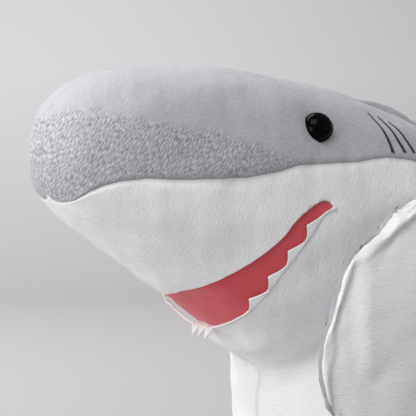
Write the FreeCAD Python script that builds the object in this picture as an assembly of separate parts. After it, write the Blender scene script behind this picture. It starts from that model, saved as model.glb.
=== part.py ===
# Plush shark sitting up on its belly, nose towards -X, its left side towards -Y, floor at z = 0.
# Each sewn panel is a thin solid of its own, filled by stuffing cores, so every piece keeps its own node.
import FreeCAD, Part
import math
import os

V = FreeCAD.Vector

# ---- driving dimensions (mm, degrees) ----
skin = 3.0             # pile fabric with its seam allowance
seamGap = 0.5          # slit left between neighbouring panels
coreDepth = 3.5        # stuffing starts this far below the pile
squareness = 2.35      # 2 is an ellipse, higher is boxier
stationStep = 0.25
floorSkin = 3.5        # panels and stuffing stay above the flat gusset
gussetThick = 3.0

# stations along the shark: back x, back z, belly x, belly z, half width
stations = [
    (-316, 420, -317, 412, 4),
    (-309, 441, -314, 388, 32),
    (-292, 460, -302, 365, 58),
    (-256, 475, -270, 338, 83),
    (-204, 482, -225, 304, 98),
    (-140, 481, -180, 269, 107),
    (-75, 471, -141, 240, 112),
    (-10, 456, -119, 224, 116),
    (55, 434, -106, 204, 119),
    (105, 392, -105, 176, 121),
    (128, 325, -104, 129, 123),
    (145, 262, -97, 60, 124),
    (182, 225, -60, 0, 121),
    (232, 212, 50, -10, 116),
    (290, 203, 190, -12, 110),
    (352, 189, 310, -10, 100),
    (425, 165, 405, 6, 84),
    (505, 139, 495, 26, 64),
    (585, 116, 580, 45, 44),
    (645, 104, 642, 62, 30),
]
# where the grey back meets the white belly: station, angle from the spine
colourSeam = [
    (0, 179), (1.6, 178.5), (1.75, 176), (1.87, 168), (1.97, 155), (2.07, 139), (2.2, 126), (2.4, 116),
    (2.66, 108.5), (3.1, 101), (4.0, 92), (4.6, 88),
    (5.1, 82), (5.4, 77), (5.9, 72), (6.4, 67), (6.9, 60), (7.4, 56), (8, 57), (9, 62), (10, 70),
    (11, 78), (12, 86), (13, 90), (20, 90),
]

neckPivot = (-42, 332)     # x, z of the nod axis
neckLean = 57.6            # slope of the neck fold in side view
neckOpen = 6.6             # wedge left free on each side of the fold
tailPivotX = 418
tailOpen = 10.6
neckStation = 7.6
tailStation = 16.0
frontSlit = 5.0            # extra angle left open where the seam turns sharply under the snout
turnStart, turnEnd = 1.5, 3.25     # stations of that turn, which get closer sections
turnStep = 0.0875
foldGap = 0.8              # each side of a fold keeps this far from its pivot plane
middleSlit = 0.3           # half the slit between the two flanks

# side view of the mouth, corner first, chin last
upperLip = [(-99, 362), (-105, 368), (-113, 368), (-124, 362), (-136, 353), (-146, 341), (-158, 329),
            (-172, 316), (-184, 307), (-201, 294), (-225, 262)]
lowerLip = [(-99, 362), (-110, 358), (-124, 340), (-140, 318), (-151, 297), (-158, 279), (-161, 262),
            (-160, 235)]
toothPitch = 27.0
toothTall = 9.0
toothBand = 3.0

eyeSpot = (-104, 428)      # x, z of the eye on the side of the head
eyeRadius = 12.0
eyeDome = 9.5
eyeFlange = 1.6
shankRadius = 2.5
shankLength = 15.0
washerRadius = 9.0

gills = [
    [(-45, 444), (-38, 432), (-35, 421), (-34, 412), (-35, 404)],
    [(-32, 440), (-27, 430), (-23, 421), (-20, 412), (-19, 404)],
    [(-22, 434), (-16, 428), (-12, 420), (-9, 412), (-8, 404)],
]
gillThin = 0.9
gillThick = 2.4

# pectoral fin: height, centre x, centre distance from the middle plane, half chord, half thickness
pectoral = [
    (104, -42, 147, 6, 4),
    (116, -47, 148, 26, 11),
    (150, -50, 149, 50, 18),
    (190, -46, 150, 72, 22),
    (240, -38, 151, 90, 23.5),
    (285, -26, 150, 90, 22.5),
    (322, -13, 147, 80, 19),
    (346, 3, 143, 64, 14),
    (362, 15, 137.5, 48, 10),
    (372, 22, 135.5, 31, 7),
    (378, 26, 134.5, 14, 4),
]
pectoralHinge = (135.0, 364.0)
rightFinSweep = 0.55       # the right fin hangs further back
finSlack = 3.3             # padding starts this far inside a fin's cover

# dorsal fin: height above its root line, front, rear, half thickness
dorsal = [(-30, -30, 140, 7), (-12, -12, 134, 9), (4, 5, 129, 12), (22, 28, 122, 15), (44, 56, 119, 15),
          (66, 84, 121, 11.5), (84, 106, 126, 7), (92, 117, 128, 3)]
dorsalFront = (43, 450)
dorsalSlope = -41.8
dorsalGap = 4.5

# tail fin: height above the floor, front x, rear x, half thickness
caudalUp = [(82, 657, 690, 9), (112, 660, 700, 13), (135, 668, 712, 12), (160, 688, 728, 10),
            (185, 711, 745, 7), (204, 731, 756, 4), (212, 742, 758, 2)]
caudalDown = [(81.5, 657, 690, 9), (66, 659, 696, 12), (48, 667, 702, 10), (32, 680, 708, 7),
              (20, 690, 711, 4), (14, 697, 711, 2)]
caudalPivotX = 667


# ---- body surface ----
def spline(rows, t):
    """One value per column of rows at the fractional row t."""
    last = len(rows) - 1
    i = min(max(int(math.floor(t)), 0), last - 1)
    f = t - i
    b = rows[i]
    c = rows[i + 1]
    a = rows[i - 1] if i > 0 else [2 * p - q for p, q in zip(b, c)]
    d = rows[i + 2] if i < last - 1 else [2 * q - p for p, q in zip(b, c)]
    return [0.5 * (2 * q + (r - p) * f + (2 * p - 5 * q + 4 * r - u) * f ** 2
                   + (3 * q - p - 3 * r + u) * f ** 3) for p, q, r, u in zip(a, b, c, d)]


def seamAngle(s):
    for (s0, a0), (s1, a1) in zip(colourSeam, colourSeam[1:]):
        if s <= s1:
            return a0 + (a1 - a0) * (s - s0) / (s1 - s0)
    return colourSeam[-1][1]


def bodyPoint(s, angle, depth, lowest=-50.0):
    """Point on the body; angle is measured from the spine, positive round the left side."""
    tx, tz, bx, bz, wide = spline(stations, s)
    half = 0.5 * math.hypot(tx - bx, tz - bz)
    shrink = max(1 - depth / half, 0.1)
    c = math.cos(math.radians(angle))
    n = math.sin(math.radians(angle))
    up = math.copysign(abs(c) ** (2 / squareness), c) * shrink
    side = math.copysign(abs(n) ** (2 / squareness), n) * max(wide - depth, wide * 0.1)
    x = 0.5 * (tx + bx) + 0.5 * up * (tx - bx)
    z = 0.5 * (tz + bz) + 0.5 * up * (tz - bz)
    return V(x, -side, max(z, lowest))


def curve(points):
    spl = Part.BSplineCurve()
    spl.interpolate(points)
    return spl.toShape()


def stationList(first, last, closer=False):
    """Both ends and the regular stations between them, closer together where the seam turns."""
    inside = [k * stationStep for k in range(int(last / stationStep) + 1)]
    if closer:
        inside = [s for s in inside if not turnStart < s < turnEnd]
        inside += [turnStart + k * turnStep for k in range(1, int((turnEnd - turnStart) / turnStep))]
    return [first] + [s for s in sorted(inside) if first + 0.02 < s < last - 0.1] + [last]


def gapAngle(s):
    """Angle that a seam slit takes up at station s."""
    wide = spline(stations, s)[4]
    return math.degrees(seamGap / 2 / max(wide, 8))


def panel(first, last, startAngle, endAngle, outer=0.0, inner=skin, lowest=-50.0, points=13):
    """Strip of skin between two edges, each given as an angle at every station."""
    wires = []
    for s in stationList(first, last, True):
        a0 = startAngle(s) + gapAngle(s)
        a1 = endAngle(s) - gapAngle(s)
        angles = [a0 + (a1 - a0) * k / (points - 1) for k in range(points)]
        out = [bodyPoint(s, a, outer, lowest) for a in angles]
        back = [bodyPoint(s, a, inner, lowest) for a in reversed(angles)]
        edges = [curve(out), Part.makeLine(out[-1], back[0]), curve(back), Part.makeLine(back[-1], out[0])]
        wires.append(Part.Wire(edges))
    return Part.makeLoft(wires, True, False)


def core(first, last, depth, lowest=-50.0, points=28):
    """Stuffing that fills the body between two stations, deeper at a blunt front end."""
    wires = []
    for s in stationList(first, last):
        extra = 2.5 * max(0.0, 1 - s / 3.0)
        ring = [bodyPoint(s, 360.0 * k / points, depth + extra, lowest) for k in range(points)]
        loop = Part.BSplineCurve()
        loop.interpolate(ring, PeriodicFlag=True)
        wires.append(Part.Wire([loop.toShape()]))
    return Part.makeLoft(wires, True, False)


def mirrored(shape):
    return shape.mirror(V(0, 0, 0), V(0, 1, 0))


def sidePrism(outline, y0=-200.0, y1=200.0):
    """Prism across the shark from an outline given in side view."""
    pts = [V(x, y0, z) for x, z in outline]
    face = Part.Face(Part.makePolygon(pts + [pts[0]]))
    return face.extrude(V(0, y1 - y0, 0))


def oneSolid(shape):
    """Largest solid of a boolean result."""
    return max(shape.Solids, key=lambda solid: solid.Volume)


# ---- folds ----
def neckCutter(towardsHead):
    """Everything on one side of the neck fold, opened by the wedge the nod needs."""
    px, pz = neckPivot
    sign = -1 if towardsHead else 1
    up = math.radians(neckLean - sign * neckOpen / 2)
    down = math.radians(neckLean + sign * neckOpen / 2)
    nx = sign * math.sin(math.radians(neckLean))
    nz = -sign * math.cos(math.radians(neckLean))
    ax = px + foldGap * nx
    az = pz + foldGap * nz
    top = (ax + 260 * math.cos(up), az + 260 * math.sin(up))
    low = (ax - 260 * math.cos(down), az - 260 * math.sin(down))
    return sidePrism([(ax, az), top, (top[0] - 500 * nx, top[1] - 500 * nz),
                      (low[0] - 500 * nx, low[1] - 500 * nz), low])


def tailCutter(towardsTail):
    """Everything on one side of the tail fold, opened by the wedge the wag needs."""
    sign = 1 if towardsTail else -1
    tilt = math.tan(math.radians(tailOpen / 2))
    ax = tailPivotX + foldGap * sign
    far = ax + sign * 160 * tilt
    pts = [V(ax, 0, -60), V(far, 160, -60), V(far - sign * 400, 160, -60), V(far - sign * 400, -160, -60),
           V(far, -160, -60)]
    return Part.Face(Part.makePolygon(pts + [pts[0]])).extrude(V(0, 0, 400))


# ---- head ----
def eyeFrame(side):
    """Spot on the skin under the eye and the outward direction there."""
    best = min(((s / 20, a) for s in range(100, 130) for a in range(40, 80)),
               key=lambda p: abs(bodyPoint(p[0], p[1], 0).x - eyeSpot[0])
               + abs(bodyPoint(p[0], p[1], 0).z - eyeSpot[1]))
    here = bodyPoint(best[0], best[1], 0)
    along = bodyPoint(best[0] + 0.1, best[1], 0) - here
    around = bodyPoint(best[0], best[1] + 2, 0) - here
    out = along.cross(around).normalize()
    if out.y > 0:
        out = out * -1
    if side == "right":
        here.y = -here.y
        out.y = -out.y
    return here, out


def eye(side):
    """Black dome with a flat rim and a shank that holds it through the fabric."""
    here, out = eyeFrame(side)
    base = here + out * 0.3
    rim = Part.makeCylinder(eyeRadius + 1, eyeFlange, base, out)
    ball = Part.makeSphere((eyeRadius ** 2 + eyeDome ** 2) / (2 * eyeDome))
    ball.translate(base + out * (eyeFlange + eyeDome - (eyeRadius ** 2 + eyeDome ** 2) / (2 * eyeDome)))
    dome = ball.common(Part.makeCylinder(eyeRadius, eyeDome + 2, base + out * (eyeFlange - 0.2), out))
    shank = Part.makeCylinder(shankRadius, shankLength, base - out * shankLength, out)
    return oneSolid(rim.fuse([dome, shank]).removeSplitter())


def eyeWasher(side):
    """Plastic washer pressed on the shank behind the fabric."""
    here, out = eyeFrame(side)
    start = here - out * (skin + 4.6)
    disc = Part.makeCylinder(washerRadius, 2.0, start, out)
    return oneSolid(disc.cut(Part.makeCylinder(shankRadius + 0.1, 6, start - out * 2, out)))


def eyePocket(side, radius, deep):
    here, out = eyeFrame(side)
    return Part.makeCylinder(radius, deep + 8, here - out * deep, out)


def headBack(side):
    """Grey panel over one half of the head."""
    shape = panel(0, neckStation + 0.5, lambda s: 0, seamAngle)
    shape = shape.cut(neckCutter(True)).cut(eyePocket("left", shankRadius + 0.4, 30))
    shape = shape.cut(Part.makeBox(100, 300, 110, V(-345, -middleSlit - 0.1, 290)))
    shape = oneSolid(shape)
    return shape if side == "left" else mirrored(shape)


def headUnder(outer, inner, first=2.0):
    """White skin of the underside of the head, from seam to seam."""
    def start(s):
        return seamAngle(s) + frontSlit * max(0.0, 1 - (s - 2.0) / 1.2)
    shape = panel(first, neckStation + 0.5, start, lambda s: 360 - start(s), outer, inner, points=25)
    return oneSolid(shape.cut(neckCutter(True)))


def lipPrism(upper, lower):
    return sidePrism(upper + list(reversed(lower)))


def snoutUnder(skinShape):
    front = [(-340, 262), (-340, 520), (150, 520), (150, 362)]
    return oneSolid(skinShape.common(sidePrism(shifted(upperLip, -0.3, 0.2) + front)))


def shifted(points, dx, dz):
    return [(x + dx, z + dz) for x, z in points]


def chin(skinShape):
    """White jaw and throat below the mouth."""
    whole = skinShape.cut(sidePrism(upperLip + [(-340, 262), (-340, 520), (150, 520), (150, 362)]))
    return oneSolid(whole.cut(lipPrism(shifted(upperLip, -2, 2), shifted(lowerLip, 0.3, -0.2))))


def mouthLining(liningShape):
    """Red lining that shows between the lips."""
    return oneSolid(liningShape.common(lipPrism(shifted(upperLip, 0.6, -0.6), shifted(lowerLip, -0.6, 0.3))))


def toothOutline():
    """Zigzag edge of the felt strip, in side view."""
    path = lowerLip[1:-1]
    spots = []
    for (x0, z0), (x1, z1) in zip(path, path[1:]):
        steps = max(int(math.hypot(x1 - x0, z1 - z0) / 1.5), 1)
        spots += [(x0 + (x1 - x0) * k / steps, z0 + (z1 - z0) * k / steps) for k in range(steps)]
    edge = []
    run = 0.0
    for (x0, z0), (x1, z1) in zip(spots, spots[1:]):
        length = math.hypot(x1 - x0, z1 - z0)
        run += length
        phase = (run / toothPitch) % 1.0
        tall = toothBand + toothTall * (phase / 0.75 if phase < 0.75 else (1 - phase) / 0.25)
        edge.append((x0 + (z1 - z0) / length * tall, z0 - (x1 - x0) / length * tall))
    return edge


def toothStrip():
    """White felt strip with pointed teeth, laid over the lining."""
    felt = headUnder(-0.6, 0.7, 3.25)
    base = shifted(lowerLip[1:-1], -0.4, 0.3)
    return oneSolid(felt.common(sidePrism(toothOutline() + list(reversed(base)))))


def gillStitch(line, side):
    """Satin-stitched gill slit, widening downwards."""
    sheet = panel(6.0, 8.0, lambda s: 22, lambda s: 66, -1.8, -0.5)
    left = []
    right = []
    for k in range(len(line)):
        wide = gillThin + (gillThick - gillThin) * k / (len(line) - 1)
        left.append((line[k][0] - wide / 2, line[k][1]))
        right.append((line[k][0] + wide / 2, line[k][1]))
    shape = oneSolid(sheet.common(sidePrism(left + list(reversed(right)), -200, 0)))
    return shape if side == "left" else mirrored(shape)


def headStuffing():
    shape = core(0.75, neckStation + 0.5, coreDepth + 0.9)
    shape = shape.cut(neckCutter(True))
    for side in ("left", "right"):
        shape = shape.cut(eyePocket(side, washerRadius + 0.4, skin + 5.2))
        shape = shape.cut(eyePocket(side, shankRadius + 0.4, shankLength + 1))
    return oneSolid(shape)


# ---- trunk ----
def gussetAngle(s):
    """Angle at which the side panel reaches the flat gusset, or the middle of the belly."""
    if bodyPoint(s, 180, 0).z > floorSkin + 0.6:
        return 180.0
    low, high = 60.0, 180.0
    for _ in range(20):
        middle = (low + high) / 2
        if bodyPoint(s, middle, 0).z < floorSkin + 0.6:
            high = middle
        else:
            low = middle
    return high


def trunkBack(side):
    shape = panel(neckStation - 0.6, tailStation + 0.4, lambda s: 0, seamAngle)
    shape = oneSolid(shape.cut(neckCutter(False)).cut(tailCutter(False)))
    return shape if side == "left" else mirrored(shape)


def trunkSide(side):
    """White chest and flank panel of one side."""
    shape = panel(neckStation - 0.6, tailStation + 0.4, seamAngle, gussetAngle, lowest=floorSkin, points=21)
    otherSide = Part.makeBox(1200, 300, 700, V(-500, -middleSlit, -50))
    shape = oneSolid(shape.cut(neckCutter(False)).cut(tailCutter(False)).cut(otherSide))
    return shape if side == "left" else mirrored(shape)


def trunkStuffing():
    shape = core(neckStation - 0.6, tailStation + 0.4, coreDepth + 1.5, floorSkin + 2.5, 40)
    return oneSolid(shape.cut(neckCutter(False)).cut(tailCutter(False)))


def bellyGusset():
    """Flat white panel the shark sits on."""
    spots = [s for s in stationList(11.5, 16) if gussetAngle(s) < 180]
    spots = [spots[0] - stationStep] + spots + [spots[-1] + stationStep]
    edge = [bodyPoint(s, gussetAngle(s), 0) for s in spots]
    outline = [V(p.x, p.y, 0) for p in edge] + [V(p.x, -p.y, 0) for p in reversed(edge[1:-1])]
    return Part.Face(Part.makePolygon(outline + [outline[0]])).extrude(V(0, 0, gussetThick))


# ---- tail ----
def tailBack(side):
    shape = panel(tailStation - 0.4, 19, lambda s: 0, seamAngle)
    shape = oneSolid(shape.cut(tailCutter(True)))
    return shape if side == "left" else mirrored(shape)


def tailBelly():
    shape = panel(tailStation - 0.4, 19, seamAngle, lambda s: 360 - seamAngle(s), points=21)
    return oneSolid(shape.cut(tailCutter(True)))


def tailStuffing():
    shape = core(tailStation - 0.4, 18.95, coreDepth)
    return oneSolid(shape.cut(tailCutter(True)))


# ---- fins ----
def leafRing(centre, along, across, half, thick, count=20):
    """Closed lens-shaped section."""
    ring = []
    for k in range(count):
        a = 2 * math.pi * k / count
        c = math.cos(a)
        n = math.sin(a)
        ring.append(centre + along * (half * math.copysign(abs(c) ** 0.9, c))
                    + across * (thick * math.copysign(abs(n) ** 0.9, n)))
    return ring


def leafCore(rings, shrink):
    """Padding inside a fin; each ring is (centre, along, across, half chord, half thickness)."""
    wires = []
    for centre, along, across, half, thick in rings:
        loop = Part.BSplineCurve()
        loop.interpolate(leafRing(centre, along, across, max(half - shrink, 1.2), max(thick - shrink, 0.8)),
                         PeriodicFlag=True)
        wires.append(Part.Wire([loop.toShape()]))
    return Part.makeLoft(wires, True, False)


def leafCover(rings, side):
    """One face of a fin's cover; side is +1 or -1 along the across direction."""
    wires = []
    for centre, along, across, half, thick in rings:
        span = [0.05 + (math.pi - 0.1) * k / 12 for k in range(13)]
        out = []
        back = []
        for a in span:
            c = math.copysign(abs(math.cos(a)) ** 0.9, math.cos(a))
            n = math.sin(a) ** 0.9 * side
            wall = min(2.2, thick * 0.45)
            out.append(centre + along * (half * c) + across * (thick * n))
            back.append(centre + along * ((half - wall) * c) + across * ((thick - wall) * n))
        back.reverse()
        edges = [curve(out), Part.makeLine(out[-1], back[0]), curve(back), Part.makeLine(back[-1], out[0])]
        wires.append(Part.Wire(edges))
    return Part.makeLoft(wires, True, False)


def pectoralRings(side):
    rings = []
    for z, x, y, half, thick in pectoral:
        sweep = rightFinSweep * (pectoralHinge[1] - z) if side == "right" else 0.0
        across = V(0, -1, 0) if side == "left" else V(0, 1, 0)
        rings.append((V(x + max(sweep, 0), across.y * y, z), V(1, 0, 0), across, half, thick))
    return rings


def dorsalRings():
    along = V(math.cos(math.radians(dorsalSlope)), 0, math.sin(math.radians(dorsalSlope)))
    lift = V(-along.z, 0, along.x)
    foot = V(dorsalFront[0], 0, dorsalFront[1])
    return [(foot + along * (0.5 * (front + rear)) + lift * tall, along, V(0, -1, 0), 0.5 * (rear - front), thick)
            for tall, front, rear, thick in dorsal]


def dorsalPiece(shape, grownBody):
    """A dorsal solid with its foot cut to follow the back."""
    return oneSolid(shape.cut(grownBody))


def lobeRings(rows):
    return [(V(0.5 * (front + rear), 0, z), V(1, 0, 0), V(0, -1, 0), 0.5 * (rear - front), thick)
            for z, front, rear, thick in rows]


def caudalRings():
    return lobeRings(list(reversed(caudalDown)) + caudalUp[1:])


def buildAll():
    under = headUnder(0.0, skin)
    throat = headUnder(0.0, skin, 3.25)
    lining = headUnder(1.0, 3.9, 3.25)
    grownBody = core(6.5, 11.5, -dorsalGap)
    nodes = {
        "head_back_left": headBack("left"),
        "head_back_right": headBack("right"),
        "snout_under": snoutUnder(under),
        "chin": chin(throat),
        "mouth_lining": mouthLining(lining),
        "tooth_strip": toothStrip(),
        "head_stuffing": headStuffing(),
        "eye_left": eye("left"),
        "eye_right": eye("right"),
        "eye_washer_left": eyeWasher("left"),
        "eye_washer_right": eyeWasher("right"),
        "trunk_back_left": trunkBack("left"),
        "trunk_back_right": trunkBack("right"),
        "trunk_side_left": trunkSide("left"),
        "trunk_side_right": trunkSide("right"),
        "belly_gusset": bellyGusset(),
        "trunk_stuffing": trunkStuffing(),
        "tail_back_left": tailBack("left"),
        "tail_back_right": tailBack("right"),
        "tail_belly": tailBelly(),
        "tail_stuffing": tailStuffing(),
        "dorsal_cover_left": dorsalPiece(leafCover(dorsalRings(), 1), grownBody),
        "dorsal_cover_right": dorsalPiece(leafCover(dorsalRings(), -1), grownBody),
        "dorsal_padding": dorsalPiece(leafCore(dorsalRings(), finSlack), grownBody),
        "caudal_cover_left": leafCover(caudalRings(), 1),
        "caudal_cover_right": leafCover(caudalRings(), -1),
        "caudal_padding": leafCore(caudalRings(), finSlack),
    }
    for side in ("left", "right"):
        rings = pectoralRings(side)
        nodes["pectoral_outer_" + side] = leafCover(rings, 1)
        nodes["pectoral_inner_" + side] = leafCover(rings, -1)
        nodes["pectoral_padding_" + side] = leafCore(rings, finSlack)
        for k, line in enumerate(gills):
            nodes["gill_stitch_%s_%d" % (side, k + 1)] = gillStitch(line, side)
    return nodes


def main():
    os.makedirs("parts", exist_ok=True)
    for name, shape in buildAll().items():
        shape.exportStep("parts/" + name + ".step")
        print(name, shape.ShapeType, len(shape.Solids), round(shape.Volume), shape.isValid())


main()
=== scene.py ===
import math
import bpy
import numpy as np
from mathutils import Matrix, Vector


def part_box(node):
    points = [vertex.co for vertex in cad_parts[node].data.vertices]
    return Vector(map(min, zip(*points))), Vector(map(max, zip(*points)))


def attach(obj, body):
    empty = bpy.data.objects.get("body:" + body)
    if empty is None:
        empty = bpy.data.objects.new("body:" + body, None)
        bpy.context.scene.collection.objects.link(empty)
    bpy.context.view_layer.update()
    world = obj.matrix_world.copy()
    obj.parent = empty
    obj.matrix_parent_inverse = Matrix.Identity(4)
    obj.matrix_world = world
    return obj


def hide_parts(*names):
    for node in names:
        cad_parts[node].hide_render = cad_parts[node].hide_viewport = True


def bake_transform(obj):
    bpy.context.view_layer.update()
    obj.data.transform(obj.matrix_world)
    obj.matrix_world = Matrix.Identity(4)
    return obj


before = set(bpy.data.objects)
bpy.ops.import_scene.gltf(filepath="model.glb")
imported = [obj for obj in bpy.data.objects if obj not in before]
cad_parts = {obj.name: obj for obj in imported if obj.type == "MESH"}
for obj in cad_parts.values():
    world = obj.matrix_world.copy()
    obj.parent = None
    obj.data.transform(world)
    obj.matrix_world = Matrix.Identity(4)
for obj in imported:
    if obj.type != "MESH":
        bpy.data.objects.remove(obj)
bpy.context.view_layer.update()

mm = 0.001
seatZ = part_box("belly_gusset")[0].z          # the floor the shark sits on


def linearColour(hexColour, alpha=1.0):
    parts = [int(hexColour[k:k + 2], 16) / 255 for k in (1, 3, 5)]
    return [p / 12.92 if p <= 0.04045 else ((p + 0.055) / 1.055) ** 2.4 for p in parts] + [alpha]


def addNode(tree, kind, sockets=None, **settings):
    node = tree.nodes.new(kind)
    for name, value in settings.items():
        setattr(node, name, value)
    for name, value in (sockets or {}).items():
        if isinstance(value, bpy.types.NodeSocket):
            tree.links.new(value, node.inputs[name])
        else:
            node.inputs[name].default_value = value
    return node


def catmull(rows, t):
    rows = np.asarray(rows, float)
    last = len(rows) - 1
    i = np.clip(np.floor(t).astype(int), 0, last - 1)
    f = (np.asarray(t, float) - i)[..., None]
    b, c = rows[i], rows[i + 1]
    a = np.where((i > 0)[..., None], rows[np.maximum(i - 1, 0)], 2 * b - c)
    d = np.where((i < last - 1)[..., None], rows[np.minimum(i + 2, last)], 2 * c - b)
    return 0.5 * (2 * b + (c - a) * f + (2 * a - 5 * b + 4 * c - d) * f ** 2
                  + (3 * b - a - 3 * c + d) * f ** 3)


def softNoise(points, wave, seed, octaves=2):
    # smooth bumps of about one wavelength, the same each run
    rng = np.random.default_rng(seed)
    total = np.zeros(len(points))
    for octave in range(octaves):
        for _ in range(9):
            way = rng.normal(size=3)
            way *= 2 * math.pi / (wave / 1.9 ** octave) / np.linalg.norm(way) * rng.uniform(0.7, 1.3)
            total += np.sin(points @ way + rng.uniform(0, 2 * math.pi)) / 1.8 ** octave
    return total / 4.0


def smoothStep(low, high, value):
    t = np.clip((value - low) / (high - low), 0, 1)
    return t * t * (3 - 2 * t)


def gridFaces(rows, columns, closed):
    i, j = np.meshgrid(np.arange(rows - 1), np.arange(columns if closed else columns - 1), indexing="ij")
    n = (j + 1) % columns
    return np.stack([i * columns + j, i * columns + n, (i + 1) * columns + n, (i + 1) * columns + j],
                    -1).reshape(-1, 4)


def vertexNormals(points, faces):
    normals = np.zeros_like(points)
    a, b, c, d = (points[faces[:, k]] for k in range(4))
    flat = np.cross(c - a, d - b)
    for k in range(4):
        np.add.at(normals, faces[:, k], flat)
    return normals / np.maximum(np.linalg.norm(normals, axis=1), 1e-12)[:, None]


def makePiece(name, points, faces, material, uv=None, normals=None, marks=None):
    mesh = bpy.data.meshes.new(name)
    mesh.from_pydata([tuple(p) for p in points], [], [tuple(int(v) for v in f) for f in faces])
    mesh.validate(clean_customdata=False)
    loops = np.zeros(len(mesh.loops), int)
    mesh.loops.foreach_get("vertex_index", loops)
    if uv is not None:
        layer = mesh.uv_layers.new(name="cloth")
        layer.data.foreach_set("uv", np.asarray(uv)[loops].astype(np.float32).ravel())
    for label, values in (marks or {}).items():
        mesh.attributes.new(label, "FLOAT", "POINT").data.foreach_set("value",
                                                                      np.asarray(values, np.float32))
    mesh.polygons.foreach_set("use_smooth", np.ones(len(mesh.polygons), bool))
    if normals is not None:
        mesh.normals_split_custom_set_from_vertices([tuple(n) for n in normals])
    mesh.materials.append(material)
    piece = bpy.data.objects.new(name, mesh)
    bpy.context.scene.collection.objects.link(piece)
    return piece


greyLook = {"colour": "#BDBDC2", "dark": "#9C9CA0", "seam": "#8C8C90", "roughness": 0.92, "sheen": 0.3,
            "pileWidth": 1.1, "pileLength": 4.6, "lay": 24, "ruffleWidth": 1.15,
            "ruffleLength": 3.9, "ruffleLay": 58,
            "ruffleLight": "#C6C6CB", "ruffleDark": "#8C8B8F"}
whiteLook = {"colour": "#F4F4F4", "dark": "#E6E5E5", "seam": "#CFCDCD", "roughness": 0.95, "sheen": 0.25,
             "pileWidth": 1.3, "pileLength": 7.0, "lay": 84}
liningLook = {"colour": "#D9565D", "dark": "#C44A52", "rib": 1.3, "roughness": 0.85}
feltLook = {"colour": "#FBFBFA", "dark": "#EDECEA", "fibre": 0.9, "roughness": 0.95}
eyeShine = {"colour": "#040404", "roughness": 0.07, "specular": 0.06}
threadLook = {"colour": "#0B0B0E", "stitch": 0.7, "roughness": 0.5}


def newMaterial(name, roughness, **inputs):
    material = bpy.data.materials.new(name)
    material.use_nodes = True
    shader = material.node_tree.nodes["Principled BSDF"]
    shader.inputs["Roughness"].default_value = roughness
    for label, value in inputs.items():
        shader.inputs[label.replace("_", " ")].default_value = value
    return material, material.node_tree, shader


def pileStreaks(tree, cloth, width, length, turn, seedShift, distortion=0.7, detail=2.5):
    # combed pile: noise stretched along its lay; sizes are the real tuft width and length in mm
    turned = addNode(tree, "ShaderNodeVectorRotate", {"Vector": cloth, "Angle": math.radians(turn)},
                     rotation_type="Z_AXIS")
    scaled = addNode(tree, "ShaderNodeVectorMath",
                     {0: turned.outputs[0], 1: (1000 / length, 1000 / width, 1)}, operation="MULTIPLY")
    moved = addNode(tree, "ShaderNodeVectorMath",
                    {0: scaled.outputs[0], 1: (seedShift, seedShift * 1.7, 0)}, operation="ADD")
    return addNode(tree, "ShaderNodeTexNoise", {"Vector": moved.outputs[0], "Scale": 1.0, "Detail": detail,
                                               "Roughness": 0.55, "Distortion": distortion}).outputs["Fac"]


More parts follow.
